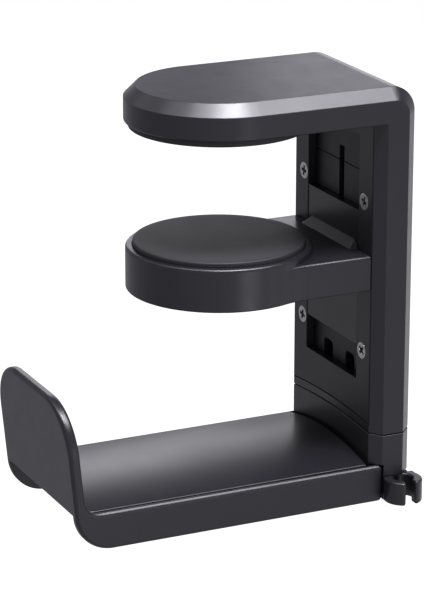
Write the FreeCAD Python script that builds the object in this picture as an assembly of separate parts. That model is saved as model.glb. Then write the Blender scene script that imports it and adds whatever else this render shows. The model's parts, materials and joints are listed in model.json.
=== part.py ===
import FreeCAD, Part
import math
import os

# Desk-clamp headphone hook. Millimetres, +Z up. The origin is the centre of the top pad's underside, the
# face that rests on the desk. -X points to the open end of the clamp and to the hook's lip, +X to the spine.

V = FreeCAD.Vector
EPS = 0.01
FAR = 400.0
OVER = 1.0                         # how far a cutter runs past the face it opens

# Driving dimensions ---------------------------------------------------------------------------------------
BODY_WIDTH = 46.0                  # across the top jaw and the spine
HALF = BODY_WIDTH / 2
CHAMFER = 2.85                     # 45 degree chamfer round the casing's top and back
FRONT_CHAMFER = 2.65               # 45 degree strips each side of the front cover
SPINE_FRONT = 31.1                 # from the jaw's axis to the spine's front face
SPINE_DEPTH = 11.1
SPINE_BACK = SPINE_FRONT + SPINE_DEPTH
JAW_TOP = 10.25                    # flat top of the casing
PAD_PROUD = 1.6                    # both pads stand this far out of their recess
JAW_UNDER = PAD_PROUD
CORNER_RADIUS = 6.5                # outer corner between the casing's top and its back
SEAM_RADIUS = 190.0                # dome of the seam where the hook swivels
SEAM_TOP = -75.5
SEAM_GAP = 0.2
SEAM_SKIRT = 6.0                   # blanks run this far below the seam before the dome trims them
SEAM_EDGE = 0.2                    # rounding along the seam
FLOOR = 2.3                        # thickness of the spine's floor, above the seam
SLIT = 0.15                        # gap round a cover or an insert
COVER_FOOT_GAP = 0.3               # under the cover's arched lower edge
UNDER_EDGE = 0.5
ROOF = 2.2                         # casing over the top pad

PAD_RADIUS = 21.0                  # lower pad
TOP_PAD_RADIUS = 21.9
PAD_THICKNESS = 3.2
PAD_EDGE = 0.35
PAD_RIB = 1.6                      # ribs that cross the hollow behind each pad

CLAMP_GAP = 28.15                  # between the pads, as drawn
DISK_RADIUS = 22.8
RIM_TOP = -29.4
PAD_SEAT = -CLAMP_GAP - PAD_THICKNESS
DISK_UNDER = -40.1
ARM_TOP = -31.3
ARM_HALF = 20.35
ARM_BLEND = 24.0                   # tangent arc between the arm and the disk
RIM_EDGE = 0.8
UNDERSIDE_EDGE = 0.35

SLOT_HALF = 13.55                  # slot in the front cover
SLOT_TOP = -2.6
SLOT_BOTTOM = -64.6
COVER_THICKNESS = 2.2
COVER_HALF = HALF - FRONT_CHAMFER
SLIDE_TOP = -21.6                  # slide plate of the lower jaw
SLIDE_BOTTOM = -55.7
SLIDE_SUNK = 0.1
SLIDE_GAP = 0.25                   # each side of the slide plate
TONGUE_TOP = -28.4
TONGUE_BOTTOM = -46.4
TONGUE_HALF = 1.15
TONGUE_REACH = 1.0                 # past the yoke's pins

PANEL_FRONT = SPINE_FRONT + COVER_THICKNESS + 0.1
PANEL_THICKNESS = 1.8
PANEL_BACK = PANEL_FRONT + PANEL_THICKNESS
PANEL_HALF = 18.4
PANEL_SPLIT = -12.5                # level line between the bracket and the guide panel
PANEL_JOINT = 0.1                  # each side of that line
PANEL_SLOT_HALF = 1.3
PANEL_SLOT_TOP = -8.7
PANEL_SLOT_BOTTOM = -55.5
CHAMBER_BACK = SPINE_BACK - 2.1
WALL = 2.3
RAIL = (12.6, 14.0)                # each guide rail behind the panel, in Y
RAIL_FOOT = SEAM_TOP + 10.0

SCREW_Y = 15.95
SCREW_ROWS = (-18.7, -56.6)
SCREW_HEAD = 2.1
SCREW_SHANK = 1.1
SCREW_END = CHAMBER_BACK - 0.8
HOLE_FIT = 0.1
COUNTERSINK_FIT = 0.08

SPRING_X = 37.5
SPRING_Y = 5.8
SPRING_RADIUS = 1.9
SPRING_WIRE = 0.45
PIN_RADIUS = 0.8
ANCHOR_Z = -4.6
YOKE_PIN_Z = -44.6
DOWEL_Z = -32.5
PIN_FIT = 0.02
PIN_RUN = 11.0                     # half length of the bores for the cross pins
LUG = 1.9                          # each lug's reach above and below the anchor pin
LUG_BACK = SPRING_X + 2.0
YOKE_HALF = 3.2
YOKE_BACK = SPRING_X + 2.1

SWIVEL_X = SPINE_FRONT + SPINE_DEPTH / 2
WASHER_RADIUS = 3.2
WAVE_RADIUS = 3.0
SPIGOT_RADIUS = 2.5
SPIGOT_FIT = 0.05
BOLT_RADIUS = 1.45
BOLT_SEAT = -88.2                  # underside of the swivel base that the bolt's head bears on
STACK = SEAM_TOP + FLOOR + 0.1     # underside of the swivel's washer, on top of the spigot
WASHER = 0.6
NUT = 2.4

HOOK_HALF = 22.7
RIM = -84.85                       # top of the hook's side walls
HOOK_UNDER = -94.35
HOOK_BACK = 34.0
CROWN_TOP = -82.05
LINER_HALF = 21.2
CROWN_SAG = CROWN_TOP - RIM - 0.2  # fall of the crown to the liner's long sides
CROWN_RADIUS = (LINER_HALF ** 2 + CROWN_SAG ** 2) / (2 * CROWN_SAG)
LINER_THICKNESS = 1.4
SKIN = 1.6
RIM_WIDTH = 1.05
SIDE_WALL = 2.2
LIP_TOP = -57.85
LIP_THICKNESS = 2.75
LIP_LEAN = math.radians(5.5)
LIP_FOOT = (-47.65, -85.1)         # X, Z of the front face's lower edge
LIP_CORNER = 12.5
ELBOW_OUTER = 9.6
ELBOW_INNER = 3.5
HOOK_EDGE = 1.0                    # rounding round the hook's outline
RIM_FACET = 0.62                   # 45 degree facet along the top of each side wall
RIM_FACET_START = -41.0
HOOK_BACK_EDGE = 0.7
TRAY_START = -44.85
THROAT = -42.9
THROAT_TOP = -88.0
RIB = 1.4
RIB_FOOT = HOOK_UNDER + 4.0
RIB_Y = 8.0
RIB_X = (-39.4, -21.5, -3.0, 15.0)
HOOK_BOSS = 2.6
HOOK_BOSS_FOOT = -89.2
ARM_SCREW_X = (19.5, 27.5)
ARM_SCREW_Y = 12.0
ARM_SCREW_SEAT = 1.6               # above the base's underside
ARM_SCREW_TOP = -85.8
ARM_PILOT_TOP = -85.6

BASE_STEP = -87.7                  # below this the swivel base is set back inside the hook's walls
BASE_UNDER = -93.2
BASE_BLOCK = (SPINE_FRONT, SPINE_BACK - 0.8, HALF - 1.1)
BASE_TONGUE = (16.0, -89.4)        # front end and top of the tongue under the tray
WALL_FIT = 0.15
POCKET_X = (SPINE_FRONT + 2.3, SPINE_BACK - 2.9)
POCKET_Y = (6.0, 16.6)
POCKET_TOP = -79.5
HEAD_ROOM = 3.3

CLIP_CENTRE = (38.55, -24.9)
CLIP_OUTER = 4.8
CLIP_INNER = 2.5
CLIP_TOP = -87.9
CLIP_UNDER = -93.8
CLIP_MOUTH = 1.25                  # half the opening
CLIP_TIP = 0.6
CLIP_EDGE = 0.5
CLIP_FACE = 1.1 - HALF             # where the clip's neck meets the base
TANG_START = CLIP_FACE - 0.3
TANG_END = -17.5
TANG_FIT = 0.05
TANG_X = (-2.0, 1.6)
TANG_Z = (-92.2, -89.2)


# Helpers --------------------------------------------------------------------------------------------------
def box(x0, x1, y0, y1, z0, z1):
    return Part.makeBox(x1 - x0, y1 - y0, z1 - z0, V(x0, y0, z0))


def slab(x0, x1, half, z0, z1):
    """A box centred on the XZ plane."""
    return box(x0, x1, -half, half, z0, z1)


def upright(radius, x, y, z0, z1):
    return Part.makeCylinder(radius, z1 - z0, V(x, y, z0))


def along_x(radius, x0, x1, y, z):
    return Part.makeCylinder(radius, x1 - x0, V(x0, y, z), V(1, 0, 0))


def along_y(radius, x, y0, y1, z):
    return Part.makeCylinder(radius, y1 - y0, V(x, y0, z), V(0, 1, 0))


def prism_y(points, half):
    """A polygon in the XZ plane, extruded to both sides."""
    corners = [V(x, -half, z) for x, z in points]
    return Part.Face(Part.makePolygon(corners + corners[:1])).extrude(V(0, 2 * half, 0))


def prism_z(points, z0, z1):
    """A polygon in plan, extruded upwards."""
    corners = [V(x, y, z0) for x, y in points]
    return Part.Face(Part.makePolygon(corners + corners[:1])).extrude(V(0, 0, z1 - z0))


def both_sides(shape):
    return [shape, shape.mirror(V(0, 0, 0), V(0, 1, 0))]


def fused(shapes):
    return shapes[0].multiFuse(shapes[1:]).removeSplitter()


def rounded(shape, radius, wanted):
    """Fillets the edges that the test picks."""
    return shape.makeFillet(radius, [edge for edge in shape.Edges if wanted(edge)])


def lies(edge, axis, value):
    """True where every end of an edge, and its middle, has this coordinate."""
    first, last = edge.ParameterRange
    points = [edge.valueAt(first), edge.valueAt(last), edge.valueAt((first + last) / 2)]
    return all(abs(getattr(point, axis) - value) < EPS for point in points)


def dome(offset):
    """The ball whose top is the swivel's seam, grown by an offset."""
    radius = SEAM_RADIUS + offset
    return Part.makeSphere(radius, V(SWIVEL_X, 0, SEAM_TOP - SEAM_RADIUS))


def on_dome(edge, offset):
    """True where an edge runs along the dome's surface."""
    first, last = edge.ParameterRange
    points = [edge.valueAt(first + (last - first) * share) for share in (0.1, 0.5, 0.9)]
    centre = V(SWIVEL_X, 0, SEAM_TOP - SEAM_RADIUS)
    return all(abs((point - centre).Length - SEAM_RADIUS - offset) < EPS for point in points)


def spine_outline(z0, z1):
    """Spine section in plan: 45 degree strips in front, 45 degree chamfers behind."""
    side = HALF
    points = [
        (SPINE_FRONT, -side + FRONT_CHAMFER),
        (SPINE_FRONT + FRONT_CHAMFER, -side),
        (SPINE_BACK - CHAMFER, -side),
        (SPINE_BACK, -side + CHAMFER),
        (SPINE_BACK, side - CHAMFER),
        (SPINE_BACK - CHAMFER, side),
        (SPINE_FRONT + FRONT_CHAMFER, side),
        (SPINE_FRONT, side - FRONT_CHAMFER),
    ]
    return prism_z(points, z0, z1)


def write(name, shape):
    shape.exportStep("parts/%s.step" % name)
    facts = (name, len(shape.Solids), shape.Volume, shape.isValid())
    print("%-22s solids %d  volume %9.1f  valid %s" % facts)


# Casing and what it holds ---------------------------------------------------------------------------------
def casing_body():
    """Top jaw and spine in one, before it is hollowed."""
    jaw = slab(0, SPINE_BACK, HALF, JAW_UNDER, JAW_TOP)
    nose = upright(HALF, 0, 0, JAW_UNDER, JAW_TOP)
    spine = slab(SPINE_FRONT, SPINE_BACK, HALF, SEAM_TOP - SEAM_SKIRT, JAW_TOP)
    body = fused([jaw, nose, spine])
    body = rounded(body, CORNER_RADIUS, lambda e: lies(e, "x", SPINE_BACK) and lies(e, "z", JAW_TOP))

    def on_outer_edge(edge):
        middle = edge.valueAt(sum(edge.ParameterRange) / 2)
        at_side = abs(abs(middle.y) - HALF) < EPS or abs(math.hypot(middle.x, middle.y) - HALF) < EPS
        corner = V(SPINE_BACK - CORNER_RADIUS, middle.y, JAW_TOP - CORNER_RADIUS)
        on_corner = abs((middle - corner).Length - CORNER_RADIUS) < EPS
        return at_side and (lies(edge, "z", JAW_TOP) or lies(edge, "x", SPINE_BACK) or on_corner)

    body = body.makeChamfer(CHAMFER, [edge for edge in body.Edges if on_outer_edge(edge)])
    strip = [
        (SPINE_FRONT - EPS, HALF - FRONT_CHAMFER - EPS),
        (SPINE_FRONT + FRONT_CHAMFER + EPS, HALF + EPS),
        (SPINE_FRONT - EPS, HALF + EPS),
    ]
    cutters = both_sides(prism_z(strip, SEAM_TOP - SEAM_SKIRT - OVER, JAW_UNDER))
    body = body.cut(cutters)
    return rounded(body.cut(dome(0)), SEAM_EDGE, lambda e: on_dome(e, 0))


def screw_places():
    return [(side * SCREW_Y, row) for row in SCREW_ROWS for side in (-1, 1)]


def jaw_hollow(radius, z0, z1):
    """Round pocket behind a pad, crossed by two ribs."""
    half = PAD_RIB / 2
    pocket = upright(radius, 0, 0, z0, z1)
    ribs = [slab(-FAR, FAR, half, z0, z1), box(-half, half, -FAR, FAR, z0, z1)]
    return pocket.cut(ribs)


def outer_shell():
    boss = 3.2
    body = casing_body()
    pad_recess = upright(TOP_PAD_RADIUS + SLIT, 0, 0, 0, PAD_THICKNESS)
    hollow = jaw_hollow(TOP_PAD_RADIUS - WALL, PAD_THICKNESS - EPS, JAW_TOP - ROOF)
    pocket = slab(SPINE_FRONT - OVER, PANEL_FRONT, COVER_HALF, SEAM_TOP - OVER, JAW_UNDER)
    pocket = pocket.cut(dome(FLOOR - COVER_FOOT_GAP))
    chamber = slab(PANEL_FRONT - EPS, CHAMBER_BACK, HALF - WALL, SEAM_TOP + FLOOR, JAW_UNDER)
    posts = [along_x(boss, PANEL_BACK, CHAMBER_BACK, y, z) for y, z in screw_places()]
    rails = both_sides(box(PANEL_BACK, CHAMBER_BACK, *RAIL, RAIL_FOOT, JAW_UNDER))
    chamber = chamber.cut(posts + rails)
    pilot = SCREW_SHANK + PIN_FIT
    pilots = [along_x(pilot, PANEL_BACK - OVER, CHAMBER_BACK, y, z) for y, z in screw_places()]
    swivel_hole = upright(SPIGOT_RADIUS + SPIGOT_FIT, SWIVEL_X, 0, SEAM_TOP - OVER, SEAM_TOP + FLOOR + OVER)
    body = body.cut([pad_recess, hollow, pocket, chamber, swivel_hole] + pilots)
    return rounded(body, UNDER_EDGE, under_edge)


def under_edge(edge):
    """Outer edge round the underside of the top jaw, from the nose to the spine's strips."""
    middle = edge.valueAt(sum(edge.ParameterRange) / 2)
    on_nose = abs(math.hypot(middle.x, middle.y) - HALF) < EPS and middle.x < 0
    on_side = abs(abs(middle.y) - HALF) < EPS and 0 < middle.x < SPINE_FRONT + FRONT_CHAMFER
    return lies(edge, "z", JAW_UNDER) and (on_nose or on_side)


def pad(radius, z_face, facing):
    """Round grip pad; its face is at z_face and looks up (1) or down (-1)."""
    z0 = z_face if facing < 0 else z_face - PAD_THICKNESS
    disk = upright(radius, 0, 0, z0, z0 + PAD_THICKNESS)
    return rounded(disk, PAD_EDGE, lambda e: lies(e, "z", z_face))


def countersinks(grow):
    """Countersunk screw blanks at the cover's four holes, grown by a clearance."""
    head = SCREW_HEAD + grow
    shank = SCREW_SHANK + grow
    depth = head - shank
    blanks = []
    for y, z in screw_places():
        cone = Part.makeCone(head, shank, depth, V(SPINE_FRONT, y, z), V(1, 0, 0))
        stem = along_x(shank, SPINE_FRONT + depth - EPS, SCREW_END, y, z)
        blanks.append(cone.fuse(stem))
    return blanks


def front_cover():
    relief_half = 5.2
    relief_floor = 0.9
    relief_rim = 2.2
    top = JAW_UNDER - SLIT
    plate = slab(SPINE_FRONT, SPINE_FRONT + COVER_THICKNESS, COVER_HALF - SLIT, SEAM_TOP - OVER, top)
    plate = plate.cut(dome(FLOOR))
    slot = slab(SPINE_FRONT - OVER, PANEL_FRONT, SLOT_HALF, SLOT_BOTTOM, SLOT_TOP)
    relief = slab(SPINE_FRONT + relief_floor, PANEL_FRONT, relief_half, SEAM_TOP, SLOT_BOTTOM - relief_rim)
    return plate.cut([slot, relief] + countersinks(COUNTERSINK_FIT))


def cover_screws():
    """Four countersunk cross-head screws; each stopped at its own angle."""
    turns = (20.0, 8.0, 40.0, 14.0)
    bottom = SPINE_FRONT + 1.0
    arm = 1.3
    arm_half = 0.42
    solids = []
    for blank, (y, z), turn in zip(countersinks(0), screw_places(), turns):
        cross = box(SPINE_FRONT - OVER, bottom, -arm, arm, -arm_half, arm_half)
        other = box(SPINE_FRONT - OVER, bottom, -arm_half, arm_half, -arm, arm)
        cross = cross.fuse(other)
        cross.rotate(V(0, 0, 0), V(1, 0, 0), turn)
        cross.translate(V(0, y, z))
        solids.append(blank.cut(cross))
    return Part.makeCompound(solids)


def upper_bracket():
    """Top part of the back surface seen in the slot; its lugs carry the springs' anchor pin."""
    inner_half = 3.2
    outer_lug = (8.4, 9.8)
    low, high = ANCHOR_Z - LUG, ANCHOR_Z + LUG
    plate = slab(PANEL_FRONT, PANEL_BACK, PANEL_HALF, PANEL_SPLIT + PANEL_JOINT, JAW_UNDER - SLIT)
    slot = slab(PANEL_FRONT - OVER, PANEL_BACK + OVER, PANEL_SLOT_HALF, PANEL_SPLIT - OVER, PANEL_SLOT_TOP)
    plate = plate.cut(slot)
    lugs = [slab(PANEL_BACK - EPS, LUG_BACK, inner_half, low, high)]
    lugs += both_sides(box(PANEL_BACK - EPS, LUG_BACK, *outer_lug, low, high))
    bore = along_y(PIN_RADIUS + PIN_FIT, SPRING_X, -PIN_RUN, PIN_RUN, ANCHOR_Z)
    return fused([plate] + lugs).cut(bore)


def guide_panel():
    """Back surface seen in the slot, with the tongue's slot and two arch-topped openings."""
    arch_y = 5.8
    notch_top = -67.0
    front, back = PANEL_FRONT - OVER, PANEL_BACK + OVER
    bottom = SEAM_TOP + FLOOR + COVER_FOOT_GAP
    plate = slab(PANEL_FRONT, PANEL_BACK, PANEL_HALF, bottom, PANEL_SPLIT - PANEL_JOINT)
    openings = [
        slab(front, back, PANEL_SLOT_HALF, PANEL_SLOT_BOTTOM, PANEL_SPLIT + OVER),
        slab(front, back, arch_y, bottom - OVER, notch_top),
    ]
    openings += both_sides(arch(front, back, arch_y, bottom - OVER))
    holes = [along_x(SCREW_SHANK + HOLE_FIT, front, back, y, z) for y, z in screw_places()]
    return plate.cut(openings + holes)


def arch(front, back, y, foot):
    """Opening with a flat top and round upper corners."""
    half = 2.4
    top = -60.6
    corner = 1.3
    opening = box(front, back, y - half, y + half, foot, top)

    def upper_corner(edge):
        return lies(edge, "z", top) and (lies(edge, "y", y - half) or lies(edge, "y", y + half))

    return rounded(opening, corner, upper_corner)


def cross_pin(z, reach):
    return along_y(PIN_RADIUS, SPRING_X, -reach, reach, z)


# Lower jaw and its carriage -------------------------------------------------------------------------------
def arm_blank(root):
    """Arm that flares into the disk with a tangent arc at each side."""
    inside_x = 2.0
    inside_y = 6.0
    centre_x = math.sqrt((DISK_RADIUS + ARM_BLEND) ** 2 - (ARM_HALF + ARM_BLEND) ** 2)
    share = DISK_RADIUS / (DISK_RADIUS + ARM_BLEND)
    meet = V(centre_x * share, (ARM_HALF + ARM_BLEND) * share, DISK_UNDER)
    hidden = meet.y - inside_y
    edges = []
    for side in (-1, 1):
        centre = V(centre_x, side * (ARM_HALF + ARM_BLEND), DISK_UNDER)
        start = V(centre_x, side * ARM_HALF, DISK_UNDER)
        end = V(meet.x, side * meet.y, DISK_UNDER)
        bisector = (start - centre) + (end - centre)
        middle = centre + bisector.normalize() * ARM_BLEND
        inside = V(inside_x, side * hidden, DISK_UNDER)
        edges.append(Part.LineSegment(V(root, side * ARM_HALF, DISK_UNDER), start).toShape())
        edges.append(Part.Arc(start, middle, end).toShape())
        edges.append(Part.LineSegment(end, inside).toShape())
    for x, half in ((inside_x, hidden), (root, ARM_HALF)):
        edges.append(Part.LineSegment(V(x, -half, DISK_UNDER), V(x, half, DISK_UNDER)).toShape())
    outline = Part.Wire(Part.__sortEdges__(edges))
    return Part.Face(outline).extrude(V(0, 0, ARM_TOP - DISK_UNDER))


def lower_jaw():
    """Disk, arm, gusset, slide plate and tongue in one moulding."""
    root = SPINE_FRONT - SLIT

    def arm_side(edge):
        middle = edge.valueAt(sum(edge.ParameterRange) / 2)
        return lies(edge, "z", ARM_TOP) and abs(middle.y) > ARM_HALF - EPS and middle.x < root - EPS

    def underside(edge):
        middle = edge.valueAt(sum(edge.ParameterRange) / 2)
        return lies(edge, "z", DISK_UNDER) and middle.x < root - EPS

    arm = rounded(arm_blank(root), RIM_EDGE, arm_side)
    disk = upright(DISK_RADIUS, 0, 0, DISK_UNDER, RIM_TOP)
    disk = rounded(disk, RIM_EDGE, lambda e: lies(e, "z", RIM_TOP))
    body = rounded(fused([disk, arm]), UNDERSIDE_EDGE, underside)
    recess = upright(PAD_RADIUS + SLIT, 0, 0, PAD_SEAT, RIM_TOP + OVER)
    hollow = jaw_hollow(PAD_RADIUS - WALL, DISK_UNDER + WALL, PAD_SEAT + EPS)
    body = body.cut([recess, hollow])
    return fused([body] + jaw_slide())


def jaw_slide():
    neck_front = SPINE_FRONT - 0.6
    face = SPINE_FRONT + SLIDE_SUNK
    back = PANEL_FRONT - SLIT
    half = SLOT_HALF - SLIDE_GAP
    plate = slab(face, back, half, SLIDE_BOTTOM, SLIDE_TOP)
    neck = slab(neck_front, face + EPS, half, DISK_UNDER + RIM_EDGE, ARM_TOP)
    tongue = slab(back - EPS, SPRING_X + TONGUE_REACH, TONGUE_HALF, TONGUE_BOTTOM, TONGUE_TOP)
    return [gusset(face), plate, neck, tongue.cut(yoke_bores())]


def yoke_bores():
    bore = PIN_RADIUS + PIN_FIT
    return [along_y(bore, SPRING_X, -YOKE_HALF - OVER, YOKE_HALF + OVER, z) for z in (YOKE_PIN_Z, DOWEL_Z)]


def gusset(face):
    """45 degree strip between the arm's top and the slide plate, with bevelled ends."""
    run = 2.2
    low = 12.7
    high = 11.3
    crest_z = ARM_TOP + 1.9
    toe = [V(face - run, y, ARM_TOP) for y in (-low, low)]
    heel = [V(face + EPS, y, ARM_TOP) for y in (-low, low)]
    crest = [V(face + EPS, y, crest_z) for y in (-high, high)]
    sides = [
        [toe[0], toe[1], crest[1], crest[0]],
        [heel[0], heel[1], crest[1], crest[0]],
        [toe[0], toe[1], heel[1], heel[0]],
        [toe[0], heel[0], crest[0]],
        [toe[1], heel[1], crest[1]],
    ]
    faces = [Part.Face(Part.makePolygon(side + side[:1])) for side in sides]
    solid = Part.Solid(Part.makeShell(faces))
    if solid.Volume < 0:
        solid.reverse()
    return solid


def spring_yoke():
    """Clevis behind the guide panel that holds the jaw's tongue."""
    fit = 0.05
    body = slab(PANEL_BACK + SLIT, YOKE_BACK, YOKE_HALF, TONGUE_BOTTOM, TONGUE_TOP)
    groove_back = SPRING_X + TONGUE_REACH + fit
    groove = slab(PANEL_BACK, groove_back, TONGUE_HALF + fit, TONGUE_BOTTOM - OVER, TONGUE_TOP + OVER)
    return body.cut([groove] + yoke_bores())


def jaw_spring(side):
    """Outer shape of one extension spring: coil body, end caps and two eyes on the pins."""
    y = side * SPRING_Y
    half_wire = SPRING_WIRE / 2
    eye_inner = PIN_RADIUS + 0.1
    eye_outer = eye_inner + 0.65
    eye_middle = PIN_RADIUS + 0.4
    leg_length = 3.4
    cap = 0.5
    coil_top = ANCHOR_Z - leg_length
    coil_bottom = YOKE_PIN_Z + leg_length
    coil = upright(SPRING_RADIUS, SPRING_X, y, coil_bottom, coil_top)
    core = upright(SPRING_RADIUS - SPRING_WIRE, SPRING_X, y, coil_bottom + cap, coil_top - cap)
    pieces = [coil.cut(core)]
    for z, end in ((ANCHOR_Z, coil_top), (YOKE_PIN_Z, coil_bottom)):
        eye = along_y(eye_outer, SPRING_X, y - half_wire, y + half_wire, z)
        eye = eye.cut(along_y(eye_inner, SPRING_X, y - OVER, y + OVER, z))
        inner = z - eye_middle if end < z else z + eye_middle
        low, high = min(inner, end), max(inner, end)
        leg = box(SPRING_X - half_wire, SPRING_X + half_wire, y - half_wire, y + half_wire, low, high)
        pieces += [eye, leg]
    return fused(pieces)


# Swivel, hook and clip ------------------------------------------------------------------------------------
def swivel_base():
    """Foot of the spine below the seam; a tongue under the tray carries the hook arm."""
    inner = HOOK_HALF - SIDE_WALL - WALL_FIT
    below = BASE_UNDER - OVER
    front, back, half = BASE_BLOCK
    tongue_front, tongue_top = BASE_TONGUE
    upper = spine_outline(BASE_STEP, SEAM_TOP + OVER).common(dome(-SEAM_GAP))
    upper = rounded(upper, SEAM_EDGE, lambda e: on_dome(e, -SEAM_GAP))
    walls = both_sides(box(SPINE_FRONT - OVER, HOOK_BACK + WALL_FIT, inner, FAR, below, RIM + WALL_FIT))
    block = slab(front, back, half, BASE_UNDER, BASE_STEP + EPS)
    tongue = slab(tongue_front, SPINE_FRONT + OVER, inner - SLIT, BASE_UNDER, tongue_top)
    spigot = upright(SPIGOT_RADIUS, SWIVEL_X, 0, SEAM_TOP - OVER, STACK)
    body = fused([upper, block, tongue, spigot]).cut(walls)
    bolt_hole = upright(BOLT_RADIUS + HOLE_FIT, SWIVEL_X, 0, below, STACK + OVER)
    head_room = upright(HEAD_ROOM, SWIVEL_X, 0, below, BOLT_SEAT)
    pockets = both_sides(box(*POCKET_X, *POCKET_Y, below, POCKET_TOP))
    seat_top = BASE_UNDER + ARM_SCREW_SEAT
    ports = [upright(SCREW_SHANK + HOLE_FIT, x, y, below, tongue_top + OVER) for x, y in arm_screw_places()]
    seats = [upright(SCREW_HEAD + 2 * HOLE_FIT, x, y, below, seat_top) for x, y in arm_screw_places()]
    body = body.cut([bolt_hole, head_room] + pockets + ports + seats)
    return body.cut(clip_tang(TANG_FIT))


def arm_screw_places():
    return [(x, side * ARM_SCREW_Y) for x in ARM_SCREW_X for side in (-1, 1)]


def crown(offset):
    """Long cylinder whose upper side is the crowned tray, lowered by an offset."""
    return along_x(CROWN_RADIUS - offset, -FAR, FAR, 0, CROWN_TOP - CROWN_RADIUS)


def hook_profile():
    """Side view of the hook, with sharp elbows."""
    x, z = LIP_FOOT
    slope = math.tan(LIP_LEAN)
    thick = LIP_THICKNESS / math.cos(LIP_LEAN)

    def front(level):
        return x - (level - z) * slope

    return [
        (HOOK_BACK, HOOK_UNDER),
        (front(HOOK_UNDER), HOOK_UNDER),
        (front(LIP_TOP), LIP_TOP),
        (front(LIP_TOP) + thick, LIP_TOP),
        (front(RIM) + thick, RIM),
        (HOOK_BACK, RIM),
    ]


def hook_blank():
    """Solid J with its elbows, lip corners and outline rounded."""
    profile = hook_profile()
    body = prism_y(profile, HOOK_HALF)
    outer, inner = profile[1], profile[4]

    def at_side(edge):
        return abs(edge.CenterOfMass.y) > HOOK_HALF - EPS

    body = rounded(body, ELBOW_OUTER, lambda e: lies(e, "x", outer[0]) and lies(e, "z", outer[1]))
    body = rounded(body, ELBOW_INNER, lambda e: lies(e, "x", inner[0]) and lies(e, "z", inner[1]))
    body = rounded(body, LIP_CORNER, lambda e: lies(e, "z", LIP_TOP) and at_side(e))
    body = rounded(body, HOOK_BACK_EDGE, lambda e: lies(e, "x", HOOK_BACK) and at_side(e))
    return rounded(body, HOOK_EDGE, hook_outline)


def hook_outline(edge):
    """Edges round the two side faces and over the lip, but not across the back end."""
    near = 0.05
    middle = edge.valueAt(sum(edge.ParameterRange) / 2)
    if middle.x > HOOK_BACK - HOOK_BACK_EDGE - near:
        return False
    x, z = LIP_FOOT
    front = x - (middle.z - z) * math.tan(LIP_LEAN)
    back = front + LIP_THICKNESS / math.cos(LIP_LEAN)
    on_side = lies(edge, "y", HOOK_HALF) or lies(edge, "y", -HOOK_HALF)
    on_lip = middle.z > LIP_TOP - LIP_CORNER and min(abs(middle.x - front), abs(middle.x - back)) < near
    return on_side or on_lip


def hook_arm():
    """J-shaped channel: skin under the liner, two side walls, lip and ribs."""
    inner = HOOK_HALF - SIDE_WALL
    bed = HOOK_HALF - RIM_WIDTH
    tray_end = SPINE_FRONT - HOLE_FIT
    below = HOOK_UNDER - OVER
    above = CROWN_TOP + OVER
    seat = crown(LINER_THICKNESS)
    over = slab(TRAY_START, HOOK_BACK + OVER, bed, HOOK_UNDER, above).cut(seat)
    root_gap = slab(tray_end, HOOK_BACK + OVER, inner, below, RIM + OVER)
    fill = slab(TRAY_START, tray_end, bed, RIM - LINER_THICKNESS - SKIN, CROWN_TOP).common(seat)
    under = slab(THROAT, tray_end + OVER, inner, below, CROWN_TOP)
    under = under.common(crown(LINER_THICKNESS + SKIN))
    body = hook_blank().cut([over, root_gap] + rim_facets()).fuse(fill)
    body = body.cut([under, prism_y(throat_outline(below), inner)])
    return fused([body] + hook_ribs(inner)).cut(arm_pilots())


def rim_facets():
    """Cutters for the 45 degree facets along the tops of the side walls."""
    section = [
        (HOOK_HALF - RIM_FACET, RIM),
        (HOOK_HALF - RIM_FACET + OVER, RIM + OVER),
        (HOOK_HALF + OVER, RIM + OVER),
        (HOOK_HALF + OVER, RIM - RIM_FACET - OVER),
    ]
    corners = [V(RIM_FACET_START, y, z) for y, z in section]
    run = HOOK_BACK + OVER - RIM_FACET_START
    return both_sides(Part.Face(Part.makePolygon(corners + corners[:1])).extrude(V(run, 0, 0)))


def throat_outline(below):
    """Hollow behind the elbow, open downwards."""
    x, z = LIP_FOOT
    skin_x = x - 3.0
    lip_x = x + 0.2
    return [(skin_x, below), (THROAT + EPS, below), (THROAT + EPS, THROAT_TOP), (lip_x, z), (skin_x, z)]


def hook_ribs(inner):
    """Ribs and screw bosses under the tray."""
    half = RIB / 2
    under_skin = crown(LINER_THICKNESS + SKIN - HOLE_FIT)
    ribs = [box(RIB_X[0], RIB_X[-1], y - half, y + half, RIB_FOOT, CROWN_TOP) for y in (-RIB_Y, RIB_Y)]
    ribs += [slab(x - half, x + half, inner + EPS, RIB_FOOT, CROWN_TOP) for x in RIB_X]
    ribs += [upright(HOOK_BOSS, x, y, HOOK_BOSS_FOOT, CROWN_TOP) for x, y in arm_screw_places()]
    return [item.common(under_skin) for item in ribs]


def arm_pilots():
    pilot = SCREW_SHANK + PIN_FIT
    return [upright(pilot, x, y, HOOK_BOSS_FOOT - OVER, ARM_PILOT_TOP) for x, y in arm_screw_places()]


def tray_liner():
    """Crowned saddle pad, one thickness all over, with rounded ends at the lip side."""
    start = TRAY_START + 0.25
    end = SPINE_FRONT - 0.9
    corner = 2.2
    edge_radius = 0.45
    body = slab(start, end, LINER_HALF, HOOK_UNDER, CROWN_TOP + OVER)
    body = rounded(body, corner, lambda e: abs(abs(e.CenterOfMass.y) - LINER_HALF) < EPS and vertical(e))
    body = body.common(crown(0)).cut(crown(LINER_THICKNESS))
    return rounded(body, edge_radius, upper_outline)


def vertical(edge):
    first, last = (vertex.Point for vertex in edge.Vertexes)
    return abs(first.z - last.z) > OVER


def upper_outline(edge):
    """Edges that lie on the crown, round the liner's upper side."""
    first, last = edge.ParameterRange
    points = [edge.valueAt(first + (last - first) * share) for share in (0.1, 0.5, 0.9)]
    axis_z = CROWN_TOP - CROWN_RADIUS
    return all(abs(math.hypot(p.y, p.z - axis_z) - CROWN_RADIUS) < EPS for p in points)


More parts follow.
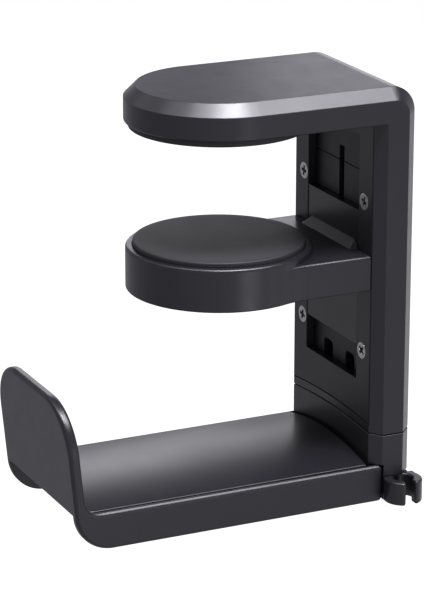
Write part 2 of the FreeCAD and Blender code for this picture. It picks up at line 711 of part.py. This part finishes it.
def arm_screws():
    """Four pan-head screws from below, through the base's tongue into the hook's bosses."""
    head_height = 1.4
    slot_half = 0.3
    slot_depth = 0.7
    seat = BASE_UNDER + ARM_SCREW_SEAT
    underside = seat - head_height
    slot_top = underside + slot_depth
    reach = SCREW_HEAD + OVER
    solids = []
    for x, y in arm_screw_places():
        head = upright(SCREW_HEAD, x, y, underside, seat)
        shank = upright(SCREW_SHANK, x, y, seat - EPS, ARM_SCREW_TOP)
        slot = box(x - reach, x + reach, y - slot_half, y + slot_half, underside - OVER, slot_top)
        solids.append(head.fuse(shank).cut(slot))
    return Part.makeCompound(solids)


def hexagon(across, z0, z1):
    reach = across / math.sqrt(3)
    angles = [math.radians(60 * n) for n in range(6)]
    return prism_z([(SWIVEL_X + reach * math.cos(a), reach * math.sin(a)) for a in angles], z0, z1)


def swivel_washer():
    return upright(WASHER_RADIUS, SWIVEL_X, 0, STACK, STACK + WASHER).cut(bolt_clearance())


def bolt_clearance():
    return upright(BOLT_RADIUS + COUNTERSINK_FIT, SWIVEL_X, 0, SEAM_TOP, STACK + FAR)


def wave_washer():
    """Spring washer under the nut, drawn pressed flat."""
    return upright(WAVE_RADIUS, SWIVEL_X, 0, STACK + WASHER, STACK + 2 * WASHER).cut(bolt_clearance())


def swivel_nut():
    across = 5.5
    thread_fit = 0.04
    z0 = STACK + 2 * WASHER
    thread = upright(BOLT_RADIUS + thread_fit, SWIVEL_X, 0, z0 - OVER, z0 + NUT + OVER)
    return hexagon(across, z0, z0 + NUT).cut(thread)


def swivel_bolt():
    head_radius = 2.75
    head_height = 2.6
    head_edge = 0.4
    socket_across = 2.5
    socket_top = BOLT_SEAT - 1.0
    end = STACK + 2 * WASHER + NUT + 0.8
    underside = BOLT_SEAT - head_height
    head = upright(head_radius, SWIVEL_X, 0, underside, BOLT_SEAT)
    head = rounded(head, head_edge, lambda e: lies(e, "z", underside))
    shank = upright(BOLT_RADIUS, SWIVEL_X, 0, BOLT_SEAT - EPS, end)
    socket = hexagon(socket_across, underside - OVER, socket_top)
    return head.fuse(shank).cut(socket)


def clip_tang(grow):
    """Block that presses the clip into the base's side."""
    x = CLIP_CENTRE[0]
    x0, x1 = x + TANG_X[0] - grow, x + TANG_X[1] + grow
    return box(x0, x1, TANG_START, TANG_END + grow, TANG_Z[0] - grow, TANG_Z[1] + grow)


def cable_clip():
    """C-shaped clip, open to -Y, on a short neck with its tang."""
    x, y = CLIP_CENTRE
    neck_left = x - CLIP_OUTER + 0.4
    neck_right = x + CLIP_OUTER - 0.6
    below, above = CLIP_UNDER - OVER, CLIP_TOP + OVER
    ring = upright(CLIP_OUTER, x, y, CLIP_UNDER, CLIP_TOP)
    mouth = box(x - CLIP_MOUTH, x + CLIP_MOUTH, y - 2 * CLIP_OUTER, y, below, above)
    ring = ring.cut([upright(CLIP_INNER, x, y, below, above), mouth])
    ring = rounded(ring, CLIP_TIP, lambda e: tip_edge(e, y))
    ring = rounded(ring, CLIP_EDGE, lambda e: lies(e, "z", CLIP_TOP) or lies(e, "z", CLIP_UNDER))
    neck = box(neck_left, neck_right, y + CLIP_INNER / 2, CLIP_FACE, CLIP_UNDER, CLIP_TOP)
    neck = neck.cut(upright(CLIP_INNER + CLIP_EDGE, x, y, below, above))
    body = fused([ring, neck])
    body = body.cut(box(x - FAR, x + FAR, CLIP_FACE, FAR, below, above))
    return fused([body, clip_tang(0)])


def tip_edge(edge, y):
    """Upright edges at the clip's two tips."""
    middle = edge.CenterOfMass
    return lies(edge, "x", middle.x) and lies(edge, "y", middle.y) and middle.y < y - CLIP_INNER / 2


def main():
    os.makedirs("parts", exist_ok=True)
    write("outer_shell", outer_shell())
    write("top_pad", pad(TOP_PAD_RADIUS, 0, -1))
    write("front_cover", front_cover())
    write("cover_screws", cover_screws())
    write("upper_bracket", upper_bracket())
    write("guide_panel", guide_panel())
    write("anchor_pin", cross_pin(ANCHOR_Z, 9.7))
    write("lower_jaw", lower_jaw())
    write("jaw_pad", pad(PAD_RADIUS, -CLAMP_GAP, 1))
    write("spring_yoke", spring_yoke())
    write("yoke_pin", cross_pin(YOKE_PIN_Z, 7.8))
    write("yoke_dowel", cross_pin(DOWEL_Z, 3.1))
    write("jaw_spring_left", jaw_spring(1))
    write("jaw_spring_right", jaw_spring(-1))
    write("swivel_base", swivel_base())
    write("swivel_bolt", swivel_bolt())
    write("swivel_washer", swivel_washer())
    write("wave_washer", wave_washer())
    write("swivel_nut", swivel_nut())
    write("hook_arm", hook_arm())
    write("tray_liner", tray_liner())
    write("arm_screws", arm_screws())
    write("cable_clip", cable_clip())


main()
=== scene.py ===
import json
import math

import bmesh
import bpy
from mathutils import Matrix, Vector


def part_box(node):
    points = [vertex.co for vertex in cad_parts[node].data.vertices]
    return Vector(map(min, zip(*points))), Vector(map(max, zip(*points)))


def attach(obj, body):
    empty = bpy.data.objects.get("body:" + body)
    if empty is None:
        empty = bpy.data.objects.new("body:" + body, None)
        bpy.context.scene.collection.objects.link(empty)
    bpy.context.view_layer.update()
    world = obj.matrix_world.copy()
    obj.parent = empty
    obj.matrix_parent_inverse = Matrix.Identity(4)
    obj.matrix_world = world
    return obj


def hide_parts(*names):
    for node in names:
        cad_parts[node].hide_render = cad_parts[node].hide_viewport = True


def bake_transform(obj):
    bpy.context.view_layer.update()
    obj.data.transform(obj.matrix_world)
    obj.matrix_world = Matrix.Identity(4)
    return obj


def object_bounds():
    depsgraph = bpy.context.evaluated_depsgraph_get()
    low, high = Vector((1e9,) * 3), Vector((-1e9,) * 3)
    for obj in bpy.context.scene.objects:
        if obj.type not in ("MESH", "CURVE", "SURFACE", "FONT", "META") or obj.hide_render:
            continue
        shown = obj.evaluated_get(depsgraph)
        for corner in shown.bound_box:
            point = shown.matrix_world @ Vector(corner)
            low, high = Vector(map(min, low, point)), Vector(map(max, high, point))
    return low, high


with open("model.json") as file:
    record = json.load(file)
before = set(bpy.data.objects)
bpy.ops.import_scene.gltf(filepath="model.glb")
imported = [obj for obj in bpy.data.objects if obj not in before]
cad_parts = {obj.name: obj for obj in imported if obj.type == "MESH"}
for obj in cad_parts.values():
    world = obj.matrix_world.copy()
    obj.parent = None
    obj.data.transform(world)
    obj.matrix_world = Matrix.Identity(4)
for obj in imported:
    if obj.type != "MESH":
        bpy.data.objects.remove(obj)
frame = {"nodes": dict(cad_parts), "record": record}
CAD_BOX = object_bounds()
CAD_NODES = frame["nodes"]
MM = 0.001


# Materials ------------------------------------------------------------------------------------------------
EDGE_SAMPLES = 4
PLASTIC_EDGE = 0.3                 # radius of a moulded piece's edges
STEEL_EDGE = 0.1
POLYMER_IOR = 1.5
PLASTIC_SHEEN_SPREAD = 0.02        # how far the roughness strays either way
RUBBER_SHEEN_SPREAD = 0.015


class Nodes:
    """Shorthand for wiring one material's node tree."""

    def __init__(self, name):
        self.material = bpy.data.materials.new(name)
        self.material.use_nodes = True
        self.tree = self.material.node_tree
        self.shader = self.tree.nodes["Principled BSDF"]
        coordinates = self.tree.nodes.new("ShaderNodeTexCoord")
        self.place = coordinates.outputs["Object"]

    def noise(self, size, detail=2.0, roughness=0.5):
        """Noise whose blobs are about this many millimetres across."""
        node = self.tree.nodes.new("ShaderNodeTexNoise")
        node.inputs["Scale"].default_value = 1.0 / (size * MM)
        node.inputs["Detail"].default_value = detail
        node.inputs["Roughness"].default_value = roughness
        self.tree.links.new(self.place, node.inputs["Vector"])
        return node.outputs["Fac"]

    def ramp(self, value, low, high, start, end):
        """Goes from low to high as the value goes from start to end."""
        node = self.tree.nodes.new("ShaderNodeMapRange")
        node.inputs["From Min"].default_value = start
        node.inputs["From Max"].default_value = end
        node.inputs["To Min"].default_value = low
        node.inputs["To Max"].default_value = high
        self.tree.links.new(value, node.inputs["Value"])
        return node.outputs["Result"]

    def blend(self, value, first, second):
        """Mixes two colours, the first at 0 and the second at 1."""
        node = self.tree.nodes.new("ShaderNodeMix")
        node.data_type = "RGBA"
        node.inputs["A"].default_value = (*first, 1.0)
        node.inputs["B"].default_value = (*second, 1.0)
        self.tree.links.new(value, node.inputs["Factor"])
        return node.outputs["Result"]

    def soft_edge(self, radius):
        """Normal that runs round each sharp edge, as on a moulded piece."""
        node = self.tree.nodes.new("ShaderNodeBevel")
        node.samples = EDGE_SAMPLES
        node.inputs["Radius"].default_value = radius * MM
        return node.outputs["Normal"]

    def bump(self, height, depth, strength, normal=None):
        """Normal tilted by a height, whose full range is this many millimetres."""
        node = self.tree.nodes.new("ShaderNodeBump")
        if normal:
            self.tree.links.new(normal, node.inputs["Normal"])
        node.inputs["Strength"].default_value = strength
        node.inputs["Distance"].default_value = depth * MM
        self.tree.links.new(height, node.inputs["Height"])
        return node.outputs["Normal"]

    def feed(self, socket, value):
        self.tree.links.new(value, self.shader.inputs[socket])

    def put(self, socket, value):
        self.shader.inputs[socket].default_value = value


def grey(level):
    return (level, level, level)


def charcoal(level):
    """Dark grey with a trace of violet blue."""
    return (level * 1.03, level, level * 1.25)


def moulded_plastic(name, level, roughness, grain):
    """Satin charcoal plastic with a spark-eroded grain, its colour and sheen slightly uneven."""
    nodes = Nodes(name)
    cloud = nodes.noise(14.0, detail=3.0)
    nodes.feed("Base Color", nodes.blend(cloud, charcoal(level * 0.95), charcoal(level * 1.05)))
    rub = nodes.noise(7.0, detail=6.0, roughness=0.62)
    dull, glossy = roughness + PLASTIC_SHEEN_SPREAD, roughness - PLASTIC_SHEEN_SPREAD
    nodes.feed("Roughness", nodes.ramp(rub, glossy, dull, 0.35, 0.65))
    pits = nodes.noise(0.16)
    nodes.feed("Normal", nodes.bump(pits, 0.012, grain, nodes.soft_edge(PLASTIC_EDGE)))
    nodes.put("IOR", POLYMER_IOR)
    return nodes.material


def rubber(name, level, roughness, grain):
    """Elastomer with a fine grain, its colour and sheen slightly uneven."""
    nodes = Nodes(name)
    cloud = nodes.noise(11.0, detail=4.0)
    nodes.feed("Base Color", nodes.blend(cloud, charcoal(level * 0.94), charcoal(level * 1.06)))
    rub = nodes.noise(9.0)
    dull, glossy = roughness + RUBBER_SHEEN_SPREAD, roughness - RUBBER_SHEEN_SPREAD
    nodes.feed("Roughness", nodes.ramp(rub, glossy, dull, 0.3, 0.7))
    nodes.feed("Normal", nodes.bump(nodes.noise(0.2), 0.02, grain))
    nodes.put("IOR", POLYMER_IOR)
    return nodes.material


def steel(name, level, roughness):
    """Bare or plated steel, finely mottled."""
    nodes = Nodes(name)
    cloud = nodes.noise(0.8, detail=4.0)
    nodes.feed("Base Color", nodes.blend(cloud, grey(level * 0.8), grey(level)))
    nodes.feed("Roughness", nodes.ramp(cloud, roughness - 0.06, roughness + 0.1, 0.3, 0.7))
    pits = nodes.noise(0.12, detail=3.0)
    nodes.feed("Normal", nodes.bump(pits, 0.006, 0.3, nodes.soft_edge(STEEL_EDGE)))
    nodes.put("Metallic", 1.0)
    return nodes.material


FINISHES = {
    "casing": moulded_plastic("casing_plastic", level=0.011, roughness=0.31, grain=0.10),
    "cover": moulded_plastic("cover_plastic", level=0.011, roughness=0.42, grain=0.10),
    "inner_moulding": moulded_plastic("inner_plastic", level=0.009, roughness=0.5, grain=0.12),
    "pad_rubber": rubber("pad_rubber", level=0.012, roughness=0.6, grain=0.2),
    "liner": rubber("liner_rubber", level=0.010, roughness=0.30, grain=0.03),
    "screw_steel": steel("zinc_steel", level=0.6, roughness=0.34),
    "pin_steel": steel("pin_steel", level=0.50, roughness=0.34),
    "spring_steel": steel("spring_wire", level=0.45, roughness=0.32),
}


def dress_nodes():
    """Gives every CAD node the finish of its material slot."""
    for part in frame["record"]["subparts"]:
        mesh = CAD_NODES[part["node"]].data
        mesh.materials.clear()
        mesh.materials.append(FINISHES[part["material_slot"]])


# Pieces that stand for plain CAD solids -----------------------------------------------------------------
SIDES = 144                        # points round each pad
PAD_RADII = {"top_pad": 21.9, "jaw_pad": 21.0}
PAD_EDGE = 0.35                    # radius of the edge
PAD_CROWN = 0.08                   # how far a pad's face falls towards its edge
PAD_FACE_RINGS = 12
PAD_EDGE_RINGS = 6
PAD_BACK_EDGE = 0.1                # chamfer of the hidden edge

CROWN_RADIUS = 87.73               # of the tray liner's upper side
LINER_THICKNESS = 1.4
LINER_EDGE = 0.2                   # radius of the upper edge
LINER_CORNER = 2.2                 # radius in plan at the lip end
LINER_PITCH = (1.5, 0.9)           # between mesh points along X and Y
LINER_NEAR_STEPS = (0.0, 0.015, 0.04, 0.08, 0.13, 0.2, 0.4, 0.8, 1.4, LINER_CORNER)

SPRING_X = 37.5
SPRING_COIL = 1.675                # radius to the middle of the wire
SPRING_WIRE = 0.225                # radius of the wire
SPRING_TURNS = 24
SPRING_TURN_STEPS = 18             # points in each turn
SPRING_TAPER = 14                  # one over the share of the coil in which it widens from the eye
SPRING_SIDES = 8                   # points round the wire
SPRING_EYE = 1.2                   # radius of each end loop
SPRING_EYE_START = 200             # degrees
SPRING_EYE_SWEEP = 290             # degrees
SPRING_EYE_STEPS = 16
SPRING_LEG = 3.4                   # from a pin to the near end of the coil
ANCHOR_Z = -4.6
YOKE_Z = -44.6


def new_piece(name, points, faces, node, slot):
    """A smooth mesh in millimetres that stands for a CAD node."""
    mesh = bpy.data.meshes.new(name)
    mesh.from_pydata([Vector(point) * MM for point in points], [], faces)
    mesh.materials.append(FINISHES[slot])
    piece = bpy.data.objects.new(name, mesh)
    bpy.context.scene.collection.objects.link(piece)
    work = bmesh.new()
    work.from_mesh(mesh)
    bmesh.ops.recalc_face_normals(work, faces=work.faces)
    for face in work.faces:
        face.smooth = True
    work.to_mesh(mesh)
    work.free()
    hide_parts(node)
    return piece


def ring_faces(start, following, count):
    """Quads between two rings of points, each given by its first index."""
    faces = []
    for n in range(count):
        after = (n + 1) % count
        faces.append((start + n, start + after, following + after, following + n))
    return faces


def pad_profile(radius, thickness):
    """Radius and height from the middle of a pad's face, over its edge, to its back."""
    profile = []
    flat = radius - PAD_EDGE
    for step in range(1, PAD_FACE_RINGS + 1):
        reach = flat * step / PAD_FACE_RINGS
        profile.append((reach, -PAD_CROWN * (reach / flat) ** 2))
    for step in range(1, PAD_EDGE_RINGS + 1):
        turn = math.pi / 2 * step / PAD_EDGE_RINGS
        drop = PAD_EDGE * (1 - math.cos(turn))
        profile.append((flat + PAD_EDGE * math.sin(turn), -PAD_CROWN - drop))
    return profile + [(radius, PAD_BACK_EDGE - thickness), (radius - PAD_BACK_EDGE, -thickness)]


def make_pad(node, body, facing):
    """Round grip pad with a slightly crowned face that looks up (1) or down (-1)."""
    low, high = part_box(node)
    face = (high.z if facing > 0 else low.z) / MM
    profile = pad_profile(PAD_RADII[node], (high.z - low.z) / MM)
    points = [(0, 0, face)]
    for radius, height in profile:
        for side in range(SIDES):
            angle = 2 * math.pi * side / SIDES
            points.append((radius * math.cos(angle), radius * math.sin(angle), face + facing * height))
    faces = [(0, 1 + side, 1 + (side + 1) % SIDES) for side in range(SIDES)]
    for ring in range(len(profile) - 1):
        faces += ring_faces(1 + ring * SIDES, 1 + (ring + 1) * SIDES, SIDES)
    last = 1 + (len(profile) - 1) * SIDES
    faces.append(tuple(range(last, last + SIDES)))
    pad = new_piece(node + "_soft", points, faces, node, "pad_rubber")
    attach(pad, body)


def graded(low, high, pitch):
    """Positions between two ends, closer together near each end."""
    count = max(2, round((high - low - 2 * LINER_CORNER) / pitch))
    first, last = low + LINER_CORNER, high - LINER_CORNER
    inner = [first + (last - first) * n / count for n in range(1, count)]
    return [low + d for d in LINER_NEAR_STEPS] + inner + [high - d for d in reversed(LINER_NEAR_STEPS)]


def liner_point(x, y, x0, x1, half):
    """Plan position with the lip end's corners rounded, and the distance in from the outline."""
    across = abs(y)
    inset = min(x - x0, x1 - x, half - across)
    a = (x0 + LINER_CORNER - x) / LINER_CORNER
    b = (across - half + LINER_CORNER) / LINER_CORNER
    if a > 0 and b > 0:
        # In a corner, the square grid is bent to fill a quarter circle.
        a, b = a * math.sqrt(1 - b * b / 2), b * math.sqrt(1 - a * a / 2)
        inset = LINER_CORNER * max(0.0, 1 - math.hypot(a, b))
        x = x0 + LINER_CORNER - a * LINER_CORNER
        across = half - LINER_CORNER + b * LINER_CORNER
    return x, math.copysign(across, y), inset


def liner_drop(inset):
    """Fall of the upper side near its outline."""
    if inset >= LINER_EDGE:
        return 0.0
    return LINER_EDGE - math.sqrt(LINER_EDGE ** 2 - (LINER_EDGE - inset) ** 2)


def make_liner():
    """Crowned saddle of one thickness, its upper edges rounded."""
    low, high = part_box("tray_liner")
    x0, x1, half, top = low.x / MM, high.x / MM, high.y / MM, high.z / MM
    xs, ys = graded(x0, x1, LINER_PITCH[0]), graded(-half, half, LINER_PITCH[1])
    axis = top - CROWN_RADIUS
    under = CROWN_RADIUS - LINER_THICKNESS
    upper, lower = [], []
    for x in xs:
        for y in ys:
            px, py, inset = liner_point(x, y, x0, x1, half)
            upper.append((px, py, axis + math.sqrt(CROWN_RADIUS ** 2 - py ** 2) - liner_drop(inset)))
            lower.append((px, py, axis + math.sqrt(under ** 2 - py ** 2)))
    rows, columns, shift = len(xs), len(ys), len(upper)
    faces = []
    for row in range(rows - 1):
        for column in range(columns - 1):
            a = row * columns + column
            quad = (a, a + 1, a + columns + 1, a + columns)
            faces += [quad, tuple(index + shift for index in reversed(quad))]
    outline = list(range(columns)) + [row * columns + columns - 1 for row in range(1, rows)]
    outline += list(range(rows * columns - 2, (rows - 1) * columns - 1, -1))
    outline += [row * columns for row in range(rows - 2, 0, -1)]
    for index, a in enumerate(outline):
        b = outline[(index + 1) % len(outline)]
        faces.append((a, b, b + shift, a + shift))
    liner = new_piece("tray_liner_soft", upper + lower, faces, "tray_liner", "liner")
    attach(liner, "hook")


def eye_path(y, pin_z, away):
    """Loop round a cross pin, ending on the coil's axis; away is the side that the coil lies on."""
    path = []
    for step in range(SPRING_EYE_STEPS + 1):
        angle = math.radians(SPRING_EYE_START - SPRING_EYE_SWEEP * step / SPRING_EYE_STEPS)
        x = SPRING_X + SPRING_EYE * math.cos(angle)
        path.append((x, y, pin_z - away * SPRING_EYE * math.sin(angle)))
    return path


def spring_path(y):
    """Middle line of one extension spring: eye, coil, eye."""
    top, bottom = ANCHOR_Z - SPRING_LEG, YOKE_Z + SPRING_LEG
    path = eye_path(y, ANCHOR_Z, 1)
    count = SPRING_TURNS * SPRING_TURN_STEPS
    for step in range(count + 1):
        share = step / count
        angle = 2 * math.pi * share * SPRING_TURNS
        grow = min(1.0, SPRING_TAPER * share, SPRING_TAPER * (1 - share))
        reach = SPRING_COIL * math.sqrt(grow)
        z = top + (bottom - top) * share
        path.append((SPRING_X + reach * math.cos(angle), y + reach * math.sin(angle), z))
    return path + eye_path(y, YOKE_Z, -1)[::-1]


def tube(path, radius, sides):
    """Round wire along a path, closed at both ends."""
    points, faces = [], []
    normal = Vector((0, 1, 0))
    for index, here in enumerate(path):
        before, after = path[max(index - 1, 0)], path[min(index + 1, len(path) - 1)]
        along = (Vector(after) - Vector(before)).normalized()
        normal = (normal - along * normal.dot(along)).normalized()
        other = along.cross(normal)
        for side in range(sides):
            angle = 2 * math.pi * side / sides
            points.append(Vector(here) + (normal * math.cos(angle) + other * math.sin(angle)) * radius)
    for index in range(len(path) - 1):
        faces += ring_faces(index * sides, (index + 1) * sides, sides)
    last = (len(path) - 1) * sides
    faces += [tuple(range(sides)), tuple(range(last, last + sides))]
    return points, faces


def make_spring(node):
    """Wound spring with an eye round a pin at each end, one by the casing and one by the jaw, drawn fixed
    as it stands.
    """
    low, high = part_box(node)
    y = (low.y + high.y) / 2 / MM
    points, faces = tube(spring_path(y), SPRING_WIRE, SPRING_SIDES)
    spring = new_piece(node + "_coil", points, faces, node, "spring_steel")
    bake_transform(spring)


def make_pieces():
    make_pad("top_pad", "root", -1)
    make_pad("jaw_pad", "jaw", 1)
    make_liner()
    make_spring("jaw_spring_left")
    make_spring("jaw_spring_right")


# Studio ---------------------------------------------------------------------------------------------------
CAMERA_AT = Vector((-0.2875, -0.60805, 0.1717))
CAMERA_AZIMUTH = math.radians(-25.165)
CAMERA_ELEVATION = math.radians(17.784)
CAMERA_ROLL = math.radians(0.04)
CAMERA_LENS = 173.57
CAMERA_SENSOR = 36.0
CAMERA_REACH = (0.02, 30.0)        # nearest and furthest distance shown

LIGHT_TINT = (1.0, 0.99, 1.05)
ROOM_TINT = (1.0, 0.98, 1.08, 1.0)
WHITE = (1.0, 1.0, 1.0, 1.0)
UP = (0, 0, 1)
FRONT_RIGHT = (0.6, -0.8, 0)

FLOOR_HALF = 6.0
FLOOR_DROP = 1.4                   # below the object


def away_from(azimuth, elevation):
    """Unit vector from the object towards a viewer at this azimuth and elevation."""
    level = math.cos(elevation)
    return Vector((math.sin(azimuth) * level, -math.cos(azimuth) * level, math.sin(elevation)))


def make_camera():
    data = bpy.data.cameras.new("camera")
    data.lens = CAMERA_LENS
    data.sensor_width = CAMERA_SENSOR
    data.clip_start, data.clip_end = CAMERA_REACH
    camera = bpy.data.objects.new("camera", data)
    bpy.context.scene.collection.objects.link(camera)
    turn = (-away_from(CAMERA_AZIMUTH, CAMERA_ELEVATION)).to_track_quat("-Z", "Y").to_matrix()
    turn = turn @ Matrix.Rotation(CAMERA_ROLL, 3, "Z")
    camera.matrix_world = Matrix.Translation(CAMERA_AT) @ turn.to_4x4()
    bpy.context.scene.camera = camera


def middle(box):
    """Centre of a box given by its low and high corners."""
    return (box[0] + box[1]) / 2


def softbox(name, azimuth, elevation, distance, width, height, power, roll=0.0, target=None, spread=180.0):
    """Rectangular area light that faces a target, or the object's middle.

    Angles are in degrees, sizes in metres and power in watts. Roll turns the light about its own axis.
    """
    data = bpy.data.lights.new(name, "AREA")
    data.color = LIGHT_TINT
    data.spread = math.radians(spread)
    data.shape = "RECTANGLE"
    data.size = width
    data.size_y = height
    data.energy = power
    light = bpy.data.objects.new(name, data)
    bpy.context.scene.collection.objects.link(light)
    back = away_from(math.radians(azimuth), math.radians(elevation))
    light.location = (target or middle(CAD_BOX)) + back * distance
    light.rotation_mode = "QUATERNION"
    turn = back.to_track_quat("Z", "Y").to_matrix() @ Matrix.Rotation(math.radians(roll), 3, "Z")
    light.rotation_quaternion = turn.to_quaternion()
    light.visible_camera = False


def make_lights():
    """Soft boxes placed by what each face mirrors towards the camera."""
    # High up, mirrored by the top jaw's chamfer, from its straight near side round to its far left end.
    softbox("overhead", 50, 62, 1.1, 0.5, 0.5, 9.0)
    softbox("overhead_hot", 4, 72, 1.1, 0.42, 0.28, 15.0)
    softbox("overhead_left", -66, 73, 1.1, 0.3, 0.3, 3.4)
    softbox("overhead_far_left", -107, 58, 1.1, 0.5, 0.5, 1.8)
    softbox("behind_left", -146, 42, 0.343, 0.15, 0.13, 0.042)
    # Low behind, mirrored by the tray and the level top faces.
    tray = middle(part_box("tray_liner"))
    softbox("tray_board", 162, 23, 0.165, 0.09, 0.095, 0.0034, roll=25, target=tray, spread=56)
    softbox("tray_board_top", 167, 28, 0.171, 0.07, 0.05, 0.00135, roll=25, target=tray, spread=56)
    softbox("board_right", 143, 10, 0.8, 0.28, 0.2, 0.26)
    # Low down in front and at the right, mirrored by the upright faces.
    softbox("front_low", 10, -18, 0.9, 0.2, 0.24, 0.15)
    softbox("right_low", 115, -20, 0.8, 0.3, 0.3, 0.16)
    softbox("right_front_low", 44, -18, 0.9, 0.14, 0.25, 0.06)
    softbox("right_front_wide", 70, -18, 0.9, 0.25, 0.25, 0.045)
    softbox("disk_card", 13, -14.2, 0.175, 0.065, 0.036, 0.0085)


def make_world():
    """White to the camera; to the object, a room palest low down and at the front right, dim overhead."""
    world = bpy.data.worlds.new("studio")
    bpy.context.scene.world = world
    world.use_nodes = True
    tree = world.node_tree
    room = tree.nodes["Background"]
    room.inputs["Color"].default_value = ROOM_TINT
    direction = tree.nodes.new("ShaderNodeTexCoord").outputs["Generated"]

    def along(axis, start, end, low, high):
        """Goes from low to high as the direction's reach along an axis goes from start to end."""
        dot = tree.nodes.new("ShaderNodeVectorMath")
        dot.operation = "DOT_PRODUCT"
        dot.inputs[1].default_value = axis
        tree.links.new(direction, dot.inputs[0])
        node = tree.nodes.new("ShaderNodeMapRange")
        node.inputs["From Min"].default_value = start
        node.inputs["From Max"].default_value = end
        node.inputs["To Min"].default_value = low
        node.inputs["To Max"].default_value = high
        tree.links.new(dot.outputs["Value"], node.inputs["Value"])
        return node.outputs["Result"]

    product = tree.nodes.new("ShaderNodeMath")
    product.operation = "MULTIPLY"
    tree.links.new(along(UP, start=0.1, end=0.6, low=1.0, high=0.15), product.inputs[0])
    tree.links.new(along(FRONT_RIGHT, start=-0.95, end=0.6, low=0.36, high=0.6), product.inputs[1])
    tree.links.new(product.outputs[0], room.inputs["Strength"])
    white = tree.nodes.new("ShaderNodeBackground")
    white.inputs["Strength"].default_value = 1.0
    white.inputs["Color"].default_value = WHITE
    path = tree.nodes.new("ShaderNodeLightPath")
    mix = tree.nodes.new("ShaderNodeMixShader")
    tree.links.new(path.outputs["Is Camera Ray"], mix.inputs[0])
    tree.links.new(room.outputs[0], mix.inputs[1])
    tree.links.new(white.outputs[0], mix.inputs[2])
    tree.links.new(mix.outputs[0], tree.nodes["World Output"].inputs["Surface"])


def make_floor():
    """Pale paper with an even glow of its own, which the object's faces neither mirror nor are lit by."""
    level = CAD_BOX[0].z - FLOOR_DROP
    mesh = bpy.data.meshes.new("floor")
    signs = ((-1, -1), (1, -1), (1, 1), (-1, 1))
    corners = [(x * FLOOR_HALF, y * FLOOR_HALF, level) for x, y in signs]
    mesh.from_pydata(corners, [], [(0, 1, 2, 3)])
    floor = bpy.data.objects.new("floor", mesh)
    bpy.context.scene.collection.objects.link(floor)
    nodes = Nodes("floor_paper")
    nodes.feed("Base Color", nodes.blend(nodes.noise(60.0, detail=3.0), grey(0.88), grey(0.92)))
    nodes.put("Roughness", 0.9)
    nodes.put("Emission Color", WHITE)
    nodes.put("Emission Strength", 1.0)
    mesh.materials.append(nodes.material)
    floor.visible_glossy = False
    floor.visible_diffuse = False


def main():
    dress_nodes()
    make_pieces()
    make_camera()
    make_lights()
    make_world()
    make_floor()
    bpy.context.scene.view_settings.view_transform = "Standard"


main()
